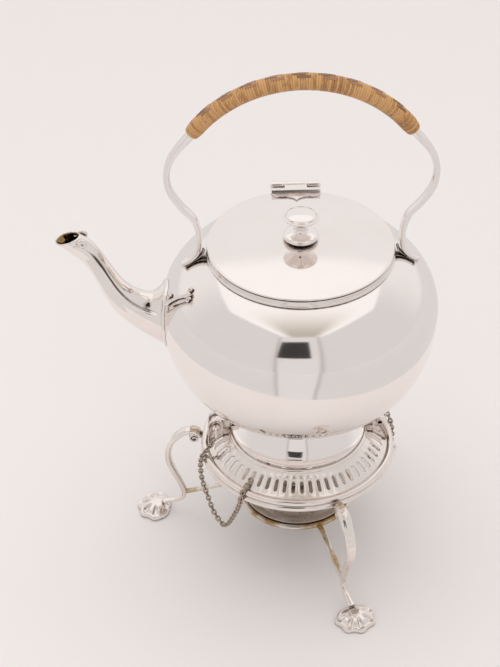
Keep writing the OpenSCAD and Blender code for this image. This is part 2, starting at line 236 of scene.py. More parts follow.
def wire(t, src, socket):
    """Links src to the socket, or sets the socket where src is a plain value."""
    if hasattr(src, "links"):
        t.links.new(src, socket)
    else:
        socket.default_value = src


def calc(t, op, a, b=0.0, c=0.0, clamp=False):
    n = node(t, "ShaderNodeMath", operation=op, use_clamp=clamp)
    for i, v in enumerate((a, b, c)):
        wire(t, v, n.inputs[i])
    return n.outputs[0]


def mixed(t, f, a, b):
    """Colour b over colour a, by the mask f."""
    n = node(t, "ShaderNodeMix", data_type="RGBA")
    for k, v in (("Factor", f), ("A", a), ("B", b)):
        wire(t, (*v, 1) if isinstance(v, tuple) else v, n.inputs[k])
    return n.outputs["Result"]


def place(t):
    return node(t, "ShaderNodeTexCoord").outputs["Object"]


def noise(t, where, scale, detail, roughness=0.5):
    n = node(t, "ShaderNodeTexNoise", Scale=scale, Detail=detail, Roughness=roughness)
    wire(t, where, n.inputs["Vector"])
    return n.outputs["Fac"]


def stretched(t, where, scale, turn=(0, 0, 0)):
    n = node(t, "ShaderNodeMapping", Scale=scale, Rotation=turn)
    wire(t, where, n.inputs["Vector"])
    return n.outputs[0]


def openness(t, reach):
    """1 on open surfaces, less in hollows within reach."""
    return node(t, "ShaderNodeAmbientOcclusion", samples=6, Distance=reach).outputs["AO"]


def attribute(t, name):
    return node(t, "ShaderNodeAttribute", attribute_name=name).outputs["Fac"]


def relief(t, p, height, strength, depth):
    n = node(t, "ShaderNodeBump", Strength=strength, Distance=depth)
    wire(t, height, n.inputs["Height"])
    wire(t, n.outputs[0], p.inputs["Normal"])


def recolour(m, f, colour):
    """Lays a colour over a material's base colour, by the mask f."""
    t = m.node_tree
    base = t.nodes["Principled BSDF"].inputs["Base Color"]
    wire(t, mixed(t, f, base.links[0].from_socket, colour), base)


def ramp(t, src, stops):
    r = t.nodes.new("ShaderNodeValToRGB")
    e = r.color_ramp.elements
    while len(e) < len(stops):
        e.new(0.5)
    for i, (p, c) in enumerate(stops):
        e[i].position = p
        e[i].color = c if len(c) == 4 else (*c, 1)
    t.links.new(src, r.inputs[0])
    return r.outputs[0]


def silver(name, base, dark, rough=(0.05, 0.11), grime=0.8, stain=0.25, reach=0.0025, scratch=0.03):
    """Polished plate: tarnish in the crevices, faint cloudy stains and fine wiping marks."""
    m, t, p = nt(name)
    p.inputs["Metallic"].default_value = 1.0
    co = place(t)
    cloud = noise(t, co, 38.0, 6.0, 0.62)
    crevice = ramp(t, openness(t, reach), [(0.25, (1, 1, 1)), (0.8, (0, 0, 0))])
    breakup = ramp(t, noise(t, co, 420.0, 4.0, 0.6), [(0.3, (0.35, 0.35, 0.35)), (0.65, (1, 1, 1))])
    dirt = calc(t, "MULTIPLY", calc(t, "MULTIPLY", crevice, breakup), grime)
    clouds = calc(t, "MULTIPLY", ramp(t, cloud, [(0.45, (0, 0, 0)), (0.8, (1, 1, 1))]), stain)
    stained = tuple(b * 0.86 * w for b, w in zip(base, (1.0, 0.95, 0.88)))
    wire(t, mixed(t, dirt, mixed(t, clouds, base, stained), dark), p.inputs["Base Color"])
    span = {"From Min": 0.3, "From Max": 0.7, "To Min": rough[0], "To Max": rough[1]}
    gloss = node(t, "ShaderNodeMapRange", **span)
    wire(t, cloud, gloss.inputs["Value"])
    wire(t, calc(t, "MULTIPLY_ADD", dirt, 0.35, gloss.outputs[0]), p.inputs["Roughness"])
    marks = noise(t, stretched(t, co, (60, 60, 900), (0.5, 0.9, 0.3)), 1.0, 5.0, 0.7)
    relief(t, p, marks, scratch, 0.00012)
    return m


DARK = (0.10, 0.07, 0.05)
plate = silver("silver_plate", (0.925, 0.872, 0.845), DARK, grime=0.7, stain=0.22)
plate_cast = silver("silver_plate_cast", (0.88, 0.815, 0.775), (0.15, 0.10, 0.06), rough=(0.09, 0.17),
                    grime=0.95, stain=0.6, reach=0.004, scratch=0.08)
plate_old = silver("tarnished_plate", (0.52, 0.46, 0.41), (0.06, 0.04, 0.025), rough=(0.2, 0.34), grime=1.0,
                   stain=0.9, reach=0.003, scratch=0.15)


def worn(name="worn_plate"):
    """Plate worn through to warm base metal in patches."""
    m = silver(name, (0.78, 0.72, 0.66), (0.12, 0.075, 0.035), rough=(0.12, 0.24), grime=1.0, stain=0.5,
               reach=0.004, scratch=0.1)
    t = m.node_tree
    patches = ramp(t, noise(t, place(t), 70.0, 5.0, 0.6), [(0.4, (0, 0, 0)), (0.6, (1, 1, 1))])
    recolour(m, patches, (0.42, 0.28, 0.12))
    return m


gilt = worn()


def cane_mat(name, light, dark, strip=False):
    """Split cane: each turn has its own tone, with fibres along it."""
    m, t, p = nt(name)
    own = node(t, "ShaderNodeTexWhiteNoise", noise_dimensions="1D")
    wire(t, calc(t, "FLOOR", attribute(t, "turn")), own.inputs["W"])
    co = place(t)
    fibre = noise(t, stretched(t, co, (120, 900, 900) if strip else (900, 260, 260)), 1.0, 5.0, 0.6)
    tone = calc(t, "MULTIPLY_ADD", own.outputs["Value"], 0.45, fibre)
    tone = calc(t, "MULTIPLY_ADD", noise(t, co, 45.0, 3.0), 0.5, tone)
    middle = tuple((x + y) / 2 for x, y in zip(light, dark))
    col = ramp(t, tone, [(0.6, dark), (0.85, middle), (1.0, light)])
    joints = ramp(t, openness(t, 0.0012), [(0.35, (1, 1, 1)), (0.85, (0, 0, 0))])
    wire(t, mixed(t, joints, col, (0.07, 0.03, 0.012)), p.inputs["Base Color"])
    p.inputs["Roughness"].default_value = 0.42
    relief(t, p, fibre, 0.25, 0.0002)
    return m


cane = cane_mat("cane_wrap", (0.62, 0.34, 0.13), (0.34, 0.155, 0.05))
cane_dark = cane_mat("cane_strip", (0.36, 0.19, 0.10), (0.17, 0.075, 0.035), strip=True)


def cotton():
    m, t, p = nt("wick_cotton")
    w = node(t, "ShaderNodeTexWave", Scale=900.0, Distortion=3.0)
    wire(t, place(t), w.inputs["Vector"])
    threads = w.outputs["Fac"]
    col = ramp(t, threads, [(0.0, (0.5, 0.44, 0.34)), (1.0, (0.85, 0.8, 0.7))])
    wire(t, col, p.inputs["Base Color"])
    p.inputs["Roughness"].default_value = 0.95
    relief(t, p, threads, 1.0, 0.0003)
    return m


wick = cotton()

# ---------- kettle body ----------
# radius, height of the widest place, height above and below it, squareness
BR, BZ, UP, DN, NN = 80.0, 174.5, 48.6, 70.3, 2.24


def prof(t, g):
    t = math.radians(t)
    c = (UP if t > 0 else DN) + g
    return (BR + g) * math.cos(t) ** (2 / NN), BZ + math.copysign(c * abs(math.sin(t)) ** (2 / NN), t)


def prof_t(r, g):
    return math.degrees(math.acos((r / (BR + g)) ** (NN / 2)))


def body_r(z, g=0.0):
    c = (UP if z > BZ else DN) + g
    return (BR + g) * max(0.0, 1 - (abs(z - BZ) / c) ** NN) ** (1 / NN)


t0, t1 = prof_t(52.7, 0), prof_t(50.6, -1.4)
P = [(0, BZ - DN)] + [prof(-90 + (90 + t0) * i / 150, 0) for i in range(1, 151)]
P += [(52.3, 213.4), (50.6, 213.4)]
P += [prof(-90 + (90 + t1) * i / 90, -1.4) for i in range(90, 0, -1)] + [(0, BZ - DN + 1.4)]
put(lathe("kettle_body_shell", P, plate, 256, closed=False, flat=50), "kettle", "silver_plate", "kettle_body")

P = [(50.6, 213.45), (52.9, 213.45)] + arc(53.0, 214.3, 0.75, -60, 80, 8) + [(52.95, 215.4), (52.95, 216.2)]
P += arc(52.55, 217.2, 0.5, 0, 90, 5) + arc(51.1, 217.2, 0.5, 90, 180, 5)
put(lathe("neck_collar_ring", P, plate_cast, 192, flat=40), "kettle", "silver_plate", "neck_collar")

c = cr([[28.2, 108.2], [28.6, 104.6], [30.4, 98], [33.8, 91], [37.6, 87], [40.2, 85.6]], 8)
P = list(map(tuple, c)) + arc(40.3, 84.85, 0.75, 80, -80, 7) + [(38.6, 84.15), (38.2, 84.7)]
P += [tuple(q - np.array([1.2, 0.5])) for q in c[::-1][3:]]
P = [(r, min(z, 105.6 if r < 28 else z)) for r, z in P]
put(lathe("kettle_foot_ring", P, plate, 192, flat=50), "kettle", "silver_plate", "kettle_foot")

# ---------- lid ----------
LR, RISE = 53.3, 3.0


def lid_z(r):
    return 219.4 + RISE * (1 - (r / LR) ** 2)


P = [(0, lid_z(0))] + [(r, lid_z(r)) for r in np.linspace(1, 52.4, 60)]
P += arc(LR - 0.7, 218.9, 0.62, 80, -90, 12) + [(50.6, 218.1)]
P += [(r, lid_z(r) - 1.1) for r in np.linspace(50.4, 0, 30)]
put(lathe("lid_dome", P, plate, 256, closed=False, flat=50), "lid", "silver_plate", "lid_shell")
P = [(48.5, 211.3)] + arc(49.0, 211.5, 0.5, 180, 360, 7) + [(49.5, 218.0), (48.5, 218.4)]
put(lathe("lid_bezel_ring", P, plate, 160, flat=40), "lid", "silver_plate", "lid_bezel")

z = lid_z(0)
P = [(0, z - 0.5), (5.2, z - 0.05), (5.0, z + 0.2), (4.8, z + 0.35)]
P += [(4.6 + 5.5 * math.cos(a), z + 2.6 + 2.3 * math.sin(a)) for a in np.radians(range(-76, 71, 7))]
P += curve([[5.0, z + 5.1], [3.9, z + 5.9], [3.35, z + 7.2], [3.4, z + 8.8], [4.5, z + 10.6],
            [6.6, z + 12.4], [9.0, z + 14.3]], 6)
P += arc(9.7, z + 15.3, 0.68, -50, 130, 12)
P += curve([[9.05, z + 15.45], [8.7, z + 15.4], [8.3, z + 15.75], [7.4, z + 16.35], [5.6, z + 16.95],
            [3, z + 17.4], [0, z + 17.55]], 5)
put(lathe("lid_knob_turned", P, plate, 96, closed=False, flat=60), "lid", "silver_plate", "lid_knob")

# ---------- hinge ----------
HY, HZ = 56.0, 221.5


def knuckle(name, x0, x1):
    P = np.array([(x, HY, HZ) for x in np.linspace(x0, x1, 13)])
    def sec(i, u):
        e = min(u, 1 - u) * (x1 - x0)
        r = 2.2 - max(0, 0.25 - e) if e < 0.25 else 2.2
        return oval(r, r, 40)
    return sweep(name, P, sec, plate, side=(0, 1, 0), flat=40)


def slab(name, pts, z0, z1, mat, bevel=0.25, up=None):
    """A flat plate with rounded edges: outline pts in (x, y); up(x, y) lifts a point."""
    n = len(pts)
    V = [(x, y, z + (up(x, y) if up else 0)) for z in (z0, z1) for x, y in pts]
    F = [tuple(range(n - 1, -1, -1)), tuple(range(n, 2 * n))]
    F += [(i, (i + 1) % n, n + (i + 1) % n, n + i) for i in range(n)]
    o = make(name, V, F, mat, flat=35)
    round_edges(o, bevel, 3)
    return o


put(knuckle("hinge_knuckle_left", -14.4, -7.05), "kettle", "silver_plate", "hinge_base")
put(knuckle("hinge_knuckle_right", 7.05, 14.4), "kettle", "silver_plate", "hinge_base")
o = slab("hinge_back_plate", [(-14.4, 54.2), (14.4, 54.2), (14.4, 57.2), (-14.4, 57.2)], 214.3, 218.3, plate)
put(o, "kettle", "silver_plate", "hinge_base")
for s, nm in ((-1, "left"), (1, "right")):
    x0, x1 = sorted((s * 7.1, s * 14.4))
    o = slab("hinge_riser_" + nm, [(x0, 54.2), (x1, 54.2), (x1, 57.2), (x0, 57.2)], 218.2, 220.6, plate)
    put(o, "kettle", "silver_plate", "hinge_base")
put(knuckle("hinge_knuckle_middle", -6.75, 6.75), "lid", "silver_plate", "lid_leaf")
o = slab("hinge_bar", [(-14.4, 48.6), (14.4, 48.6), (14.4, 51.0), (-14.4, 51.0)], 220.2, 223.0, plate, 0.4)
put(o, "lid", "silver_plate", "lid_leaf")
o = slab("hinge_bar_neck", [(-6.6, 50.8), (6.6, 50.8), (6.6, 55.2), (-6.6, 55.2)], 220.7, 222.9, plate, 0.3)
put(o, "lid", "silver_plate", "lid_leaf")
half = cr([[0, 40.2], [1.6, 42.6], [5.2, 44.4], [9.8, 44.6], [12.6, 45.6], [14.2, 48.8]], 8)
pts = [(-x, y) for x, y in half[::-1]] + [(x, y) for x, y in half[1:]]
o = slab("hinge_plate", pts, 0.05, 1.0, plate, 0.25, up=lambda x, y: lid_z(math.hypot(x, y)))
put(o, "lid", "silver_plate", "lid_leaf")

# ---------- spout ----------
KEYS = np.array([  # x, z, rise angle, half height, half width
    [-77.4, 171.5, 0, 20.2, 14.6], [-80.6, 171.9, 2, 18.9, 13.0], [-85, 173.0, 9, 16.4, 11.2],
    [-92, 176.2, 27, 12.8, 9.4], [-100, 182.6, 44, 10.2, 8.2], [-106, 190.6, 56, 8.2, 7.2],
    [-110.8, 200.0, 62, 6.9, 6.4], [-114.8, 208.4, 62, 6.4, 5.9], [-119.4, 215.6, 60, 6.9, 5.6],
    [-125.2, 221.8, 66, 7.5, 5.8], [-130.8, 226.1, 74, 7.7, 6.0]])
K = cr(KEYS, 10)
M = 192


def spout_ring(row, shrink=0.0):
    x, zc, a, rh, rw = row
    a = math.radians(a)
    u = np.linspace(0, 2 * pi, M, endpoint=False)
    w = min(1.0, max(0.0, (abs(x) - 78) / 10))          # the panels begin beyond the round flange
    tip = min(1.0, max(0.0, (zc - 214) / 10))
    au = np.abs((np.degrees(u) + 180) % 360 - 180)
    # the upper leaf lies a step below the flanks and ends in a fold;
    # the flanks meet in a soft keel lower down
    dip = 0.11 / (1 + np.exp((au - 66) / 2.2))
    for depth, middle, width in ((0.13, 65, 4), (0.05, 98, 15), (-0.035, 128, 9), (0.05, 156, 14)):
        dip += depth * np.exp(-((au - middle) / width) ** 2)
    k = 1 - dip * w * (1 - 0.6 * tip)
    A = (rh - shrink) * np.cos(u) * k
    B = (rw - shrink) * np.sin(u) * k
    # u = 0 is the upper, inner side of the neck
    X = x + A * math.sin(a)
    Z = zc + A * math.cos(a)
    return np.stack([X, -B, Z], 1)


rings = [spout_ring(k) for k in K]
inner = [spout_ring(k, 1.1) for k in K[::-1]]
lip = [rings[-1] * 0.35 + inner[0] * 0.65 + [-0.12, 0, 0.42], ]
mid = [rings[-1] * 0.75 + inner[0] * 0.25 + [-0.1, 0, 0.32]]
V = []
allr = rings + mid + lip + inner
for r in allr:
    V.extend(r.tolist())
F = tube_faces(len(allr), M)
nb = len(rings)


def spout_mat():
    """Silver outside, with a painted shade line along the fold and gilding inside the beak."""
    m = silver("silver_plate_spout", (0.92, 0.862, 0.828), (0.10, 0.07, 0.05), grime=1.0, stain=0.4,
               reach=0.003)
    # painted shade: a dark line along the fold and at the foot of the upper leaf
    recolour(m, attribute(m.node_tree, "fold_shade"), (0.12, 0.085, 0.06))
    recolour(m, attribute(m.node_tree, "inside"), (0.33, 0.21, 0.09))
    return m


ins = np.concatenate([np.zeros(M * (nb + 1)), np.full(M, 0.5), np.ones(M * len(inner))])


def bump(v, c, w):
    return math.exp(-((v - c) / w) ** 2)


# painted shade lies along the fold, thickest below the beak, and where the upper leaf meets the base
fold_shade = np.zeros(len(V))
for i, kk in enumerate(K):
    for j in range(M):
        au = abs((360 * j / M + 180) % 360 - 180)
        run = 1 / (1 + math.exp(-(kk[1] - 186) / 3)) / (1 + math.exp((kk[1] - 216.5) / 0.9))
        f = 0.9 * run * bump(au, 62, 3 + 6 * run * bump(kk[1], 211, 7))
        f += 0.95 * bump(au, 52, 11) * bump(kk[1], 175.8, 1.0)
        fold_shade[i * M + j] = min(1.0, f)
o = make("spout_neck", V, F, spout_mat(), attrs={"inside": ins, "fold_shade": fold_shade}, flat=60)
put(o, "kettle", "silver_plate", "spout")

# the oval plate between the spout and the body
V = []
rows = [(0.80, 0.1), (0.80, 1.45), (0.93, 1.5), (0.985, 1.2), (1.0, 0.1)]
MB = 120
for q, h in rows:
    for j in range(MB):
        a = 2 * pi * j / MB
        y, zz = 16.4 * q * math.sin(a), 171.5 + 22.2 * q * math.cos(a)
        R = body_r(zz, h)
        V.append((-math.sqrt(max(R * R - y * y, 0)), y, zz))
put(make("spout_flange", V, loop_faces(len(rows), MB), plate, flat=40), "kettle", "silver_plate",
    "spout_collar")


def on_body(az, zz, g):
    r = body_r(zz, 0)
    # outward normal of the body curve
    d = 0.05
    tr = body_r(zz + d) - body_r(zz - d)
    n = np.array([2 * d, -tr])
    n /= np.linalg.norm(n)
    a = math.radians(az)
    rr, z2 = r + g * n[0], zz + g * n[1]
    return np.array([rr * math.cos(a), rr * math.sin(a), z2])


# the scroll on the shoulder in front of the flange: a stem with a curl at each end
STEM = [[191.2, 189.6, 1.0], [192.4, 191.2, 1.3], [194.4, 194.6, 1.3], [196.8, 198.0, 1.3],
        [199.6, 200.8, 1.4], [201.6, 202.4, 1.5], [202.6, 204.0,
                                                   1.4]]      # degrees, height, distance off the body
P = [on_body(*q) for q in cr(STEM, 10)]


def rad(u):
    return 0.9 + 0.5 * math.exp(-((u - 0.06) / 0.1) ** 2) + 0.55 * math.exp(-((u - 0.93) / 0.09) ** 2)


put(tube("spout_leaf_stem", even(P, 60), rad, plate_cast, 16), "kettle", "silver_plate", "spout_leaf")
for q, (a, zz, R0) in enumerate(((190.4, 193.4, 1.9), (200.2, 204.6, 1.5), (203.6, 201.6, 1.5))):
    P = []
    for k in range(40):
        t = math.radians(40 + 430 * k / 39) * (1 if q != 1 else -1)
        r = R0 * (1 - 0.75 * k / 39)
        P.append(on_body(a + math.degrees(r * math.cos(t) / 73), zz + 0.8 * r * math.sin(t), 1.0))
    o = tube("spout_leaf_curl_%d" % q, np.array(P), lambda u: 0.75 - 0.2 * u, plate_cast, 12)
    put(o, "kettle", "silver_plate", "spout_leaf")

for s, nm in ((-1, "front"), (1, "back")):
    P = []
    for k in range(60):
        a = math.radians(205 - 560 * k / 59)
        r = 2.4 * (1 - 0.72 * k / 59)
        P.append((-122.8 + r * math.cos(a), s * 4.6, 225.2 + r * math.sin(a)))
    P = [(-127.6, s * 5.2, 224.0), (-125.4, s * 5.2, 224.4)] + P[3:]
    def rad2(u):
        return 1.05 if u < 0.8 else 1.05 - (u - 0.8) * 1.5
    o = tube("spout_roll_" + nm, even(cr(P, 3), 90), rad2, plate_cast, 14)
    put(o, "kettle", "silver_plate", "spout_scrolls")

# ---------- handle ----------
STRAP = [[59.6, 293.4, 5.6], [61.6, 291.0, 4.8], [67.3, 284.2, 4.1], [72.4, 275.6, 3.8],
         [74.2, 266, 3.7], [72.5, 256, 3.7], [66.8, 246.2, 3.7], [60.3, 238, 3.7], [57.6, 229, 3.5],
         [57.5, 221, 3.3], [58.7, 215.3, 3.2], [62, 210.9, 2.9], [66.6, 207.3, 2.4]]


def strap_sec(w, t):
    """A flat band with rounded edges and a raised rib along its outer face."""
    n = 40
    u = np.linspace(0, 2 * pi, n, endpoint=False)
    c, s = np.cos(u), np.sin(u)
    a = t / 2 * np.sign(c) * np.abs(c) ** 0.62
    b = w / 2 * np.sign(s) * np.abs(s) ** 0.55
    groove = 0.34 * np.exp(-((b - 1.9) / 0.55) ** 2) + 0.34 * np.exp(-((b + 1.9) / 0.55) ** 2)
    a = np.where(c < 0, a + groove, a)
    return np.stack([a, b], 1)


for s, nm in ((-1, "left"), (1, "right")):
    C = even(cr(STRAP, 14), 150)
    P = np.stack([s * C[:, 0], 0 * C[:, 0], C[:, 1]], 1)
    W = C[:, 2]
    def sec(i, u, W=W, s=s):
        w = 6.6 - 1.0 * max(0, (0.06 - u) / 0.06) - 1.6 * max(0, (u - 0.9) / 0.1) ** 2
        q = strap_sec(w, W[i])
        return q * [-s, 1]
    o = sweep("handle_strap_%s_band" % nm, P, sec, plate, side=(0, 1, 0))
    put(o, "kettle", "silver_plate", "handle_strap_%s" % nm)
    e = C[-1]
    P = [(s * (e[0] + 0.1 - 0.05 * y * y), y, e[1] - 0.1) for y in np.linspace(-2.9, 2.9, 21)]
    def rk(u):
        k = abs(u - 0.5) * 2
        return 1.55 * math.sqrt(max(0.05, 1 - k ** 3))
    put(tube("handle_strap_%s_curl" % nm, P, rk, plate_cast, 20, side=(0, 0, 1)), "kettle", "silver_plate",
        "handle_strap_%s" % nm)

GZ, BR2 = 324.0, (3600 + 31.0 ** 2) / 62.0
GA = math.degrees(math.asin(60 / BR2))
NG = 1500
ang = np.radians(np.linspace(90 + GA, 90 - GA, NG))
P = np.stack([BR2 * np.cos(ang), 0 * ang, GZ - BR2 + BR2 * np.sin(ang)], 1)
LEN = BR2 * math.radians(2 * GA)
PITCH = 1.34
TURNS = LEN / PITCH
NS = 64


def wrap_sec(i, u):
    crown = abs(math.sin(pi * ((u * TURNS) % 1.0))) ** 0.5
    end = min(u, 1 - u) * LEN
    taper = 1 - 0.16 * max(0, 1 - end / 5.0) ** 1.5
    r = (4.42 + 0.42 * crown) * taper
    return oval(r * 0.97, r * 1.02, NS)


def turn_attr(i, u, n):
    return [u * TURNS] * n


o = sweep("handle_grip_wrap", P, wrap_sec, cane, side=(0, 1, 0), attrs={"turn": turn_attr})
put(o, "kettle", "cane", "handle_grip")

# two lengths of flat cane run along the top; they go under a few turns, then over a few
BLOCK = 13.6


def strip(name, s0, s1, y, w, idx):
    n = max(10, int((s1 - s0) * 3))
    Q, S0 = [], np.linspace(s0, s1, n)
    for sv in S0:
        a = math.radians(90 + GA) - sv / BR2
        e = min(sv - s0, s1 - sv)
        lift = 4.5 + 0.2 * min(1, e / 0.9) ** 0.5
        phi = y / 4.8
        rr = BR2 + lift * math.cos(phi)
        Q.append((rr * math.cos(a), lift * math.sin(phi), GZ - BR2 + rr * math.sin(a)))
    def sec(i, u):
        return oval(0.09, w / 2, 14, 3.0)
    phi = y / 4.8
    P = np.array(Q)
    T = np.gradient(P, axis=0)
    T /= np.linalg.norm(T, axis=1)[:, None]
    V, m = [], 14
    for i in range(n):
        a = math.radians(90 + GA) - S0[i] / BR2
        out = np.array([math.cos(a) * math.cos(phi), math.sin(phi), math.sin(a) * math.cos(phi)])
        sd = np.cross(T[i], out)
        for p, q in sec(i, 0):
            V.append(P[i] + p * out + q * sd)
    F = tube_faces(n, m) + [tuple(range(m - 1, -1, -1)), tuple(range((n - 1) * m, n * m))]
    o = make(name, V, F, cane_dark, attrs={"turn": [idx + 0.5] * len(V)})
    put(o, "kettle", "cane", "handle_grip")


nblk = int((LEN - 14) / BLOCK)
off = (LEN - nblk * BLOCK) / 2
for b in range(nblk):
    a0 = off + b * BLOCK
    for q, (y, lead, ln) in enumerate([(-2.2, 3.4, 7.0), (0.2, 0.8, 7.0), (2.5, 3.2, 6.8)]):
        s0 = a0 + lead + rng.uniform(-0.3, 0.3)
        s1 = a0 + lead + ln + rng.uniform(-0.4, 0.4)
        strip("grip_strip_%d_%d" % (b, q), s0, s1, y, 1.7, b * 5 + q)

# small pads between strap and collar
for s, nm in ((-1, "left"), (1, "right")):
    Q = [(s * 55.0, 216.2), (s * 55.7, 214.2), (s * 57.6, 212.0), (s * 60.6, 209.4)]
    P = np.array([(x, 0, zz) for x, zz in even(cr(Q, 8), 24)])
    def psec(i, u):
        return oval(0.8 * (1 - 0.5 * u), 2.2 * (1 - 0.15 * u), 20, 2.6)
    o = sweep("handle_pad_%s_block" % nm, P, psec, plate_old, side=(0, 1, 0))
    put(o, "kettle", "silver_plate", "handle_pad_%s" % nm)

# ---------- gallery ----------
P = arc(41.5, 82, 1.5, 0, 360, 25)[:-1]
put(lathe("gallery_bead_ring", P, plate_cast, 192), "stand", "silver_plate", "gallery_bead")
P = arc(56.95, 71.1, 2.05, 130, -62, 16) + [(58.2, 69.25)]
P += arc(57.3, 67.2, 2.15, 60, -170, 18) + [(55.3, 69.3)] + arc(56.95, 71.1, 2.05, 232, 190, 5)
put(lathe("gallery_rim_rolls", P, plate_cast, 240, flat=60), "stand", "silver_plate", "gallery_rim")

SL = 60
SLOT = (45.8, 52.1, 1.12)                # inner end, outer end and half width of a slot
V, F = [], []
ra, rb = 42.9, 55.3                      # inner and outer radius of the band
za, zb = 81.95, 72.35


def band(r, a, h=0.0):
    f = (r - ra) / (rb - ra)
    zz = za + (zb - za) * f - 0.5 * math.sin(pi * f) + h
    return (r * math.cos(a), r * math.sin(a), zz)


NL = 32
r0, r1, w = SLOT
hw = pi / SL                             # half the angle of one cell
for sidx in range(SL):
    a0 = 2 * pi * sidx / SL
    loops = []
    # slot outline, then rounded step, then the cell's own edge
    for grow, drop in ((0.0, -1.3), (0.0, -0.3), (0.3, 0.05), (0.55, 0.12), (0.85, 0.0)):
        lp = []
        for j in range(NL):
            t = 2 * pi * j / NL
            cx, sx = math.cos(t), math.sin(t)
            px = (r1 - w if cx > 0 else r0 + w) + (w + grow) * cx * (1 if abs(cx) > 1e-6 else 0)
            py = (w + grow) * sx
            lp.append(band(px, a0 + py / px, drop))
        loops.append(lp)
    lp = []
    for j in range(NL):
        t = 2 * pi * j / NL
        cx, sx = math.cos(t), math.sin(t)
        k = 1 / max(abs(cx), abs(sx))
        u, v = cx * k, sx * k
        lp.append(band((ra + rb) / 2 + u * (rb - ra) / 2, a0 + v * hw))
    loops.append(lp)
    base = len(V)
    for lp in loops:
        V.extend(lp)
    F += tube_faces(len(loops), NL, base)
o = make("gallery_band_pierced", V, F, plate_cast, flat=50)
weld(o, 0.02)
put(o, "stand", "silver_plate", "gallery_band")
# the underside of the band, seen from below
V, F = [], []
for sidx in range(SL):
    a0 = 2 * pi * sidx / SL
    lp0, lp1 = [], []
    for j in range(NL):
        t = 2 * pi * j / NL
        cx, sx = math.cos(t), math.sin(t)
        px = (r1 - w if cx > 0 else r0 + w) + w * cx
        lp0.append(band(px, a0 + w * sx / px, -1.3))
        k = 1 / max(abs(cx), abs(sx))
        lp1.append(band((ra + rb) / 2 + cx * k * (rb - ra) / 2, a0 + sx * k * hw, -1.3))
    base = len(V)
    V.extend(lp0 + lp1)
    for j in range(NL):
        k = (j + 1) % NL
        F.append((base + j, base + NL + j, base + NL + k, base + k))
o = make("gallery_band_underside", V, F, plate_old, flat=50)
weld(o, 0.02)
put(o, "stand", "silver_plate", "gallery_band")

o = lathe("stop_peg_ball", [(0, -1.45)] + arc(0, 0, 1.45, -80, 80, 15) + [(0, 1.45)], gilt, 24, closed=False)
a = math.radians(-120)
o.matrix_world = Matrix.Translation((0.039 * math.cos(a), 0.039 * math.sin(a), 0.082))
put(o, "stand", "worn_plate", "stop_peg")

# ---------- legs, feet, struts ----------
LEG = [[60.0, 66.6, 3.0, 5.0], [62.8, 69.2, 3.4, 5.6], [67.6, 70.2, 3.6, 6.0], [73.4, 67.2, 3.6, 6.2],
       [78.4, 60.6, 3.5, 6.4], [81.2, 51.6, 3.4, 6.4], [81.0, 42.6, 3.7, 5.8], [78.0, 33.6, 3.9, 5.0],
       [74.6, 25.6, 3.9, 4.4], [72.4, 18.8, 3.6, 3.9], [72.8, 13.4, 3.1, 3.6], [76.6, 9.9, 2.7, 3.5],
       [81.6, 8.2, 2.6, 3.6], [86.0, 7.0, 2.6, 4.6]]
TURN = [170, 290, 50]


def leg_sec(w, t, ridge):
    n = 36
    u = np.linspace(0, 2 * pi, n, endpoint=False)
    c, s = np.cos(u), np.sin(u)
    a = w / 2 * np.sign(c) * np.abs(c) ** 0.8
    b = t / 2 * np.sign(s) * np.abs(s) ** 0.8
    k = 1 - ridge * np.exp(-((np.abs(b) / (t / 2) - 0.55) / 0.16) ** 2) * (c < 0.2)
    return np.stack([a * k, b], 1)


STRUT = [[36.0, 29.1, 2.4], [41, 28.4, 2.1], [47, 26.7, 2.0], [54, 23.8, 2.0], [62, 20.6, 2.2],
         [70.8, 17.8, 2.8]]

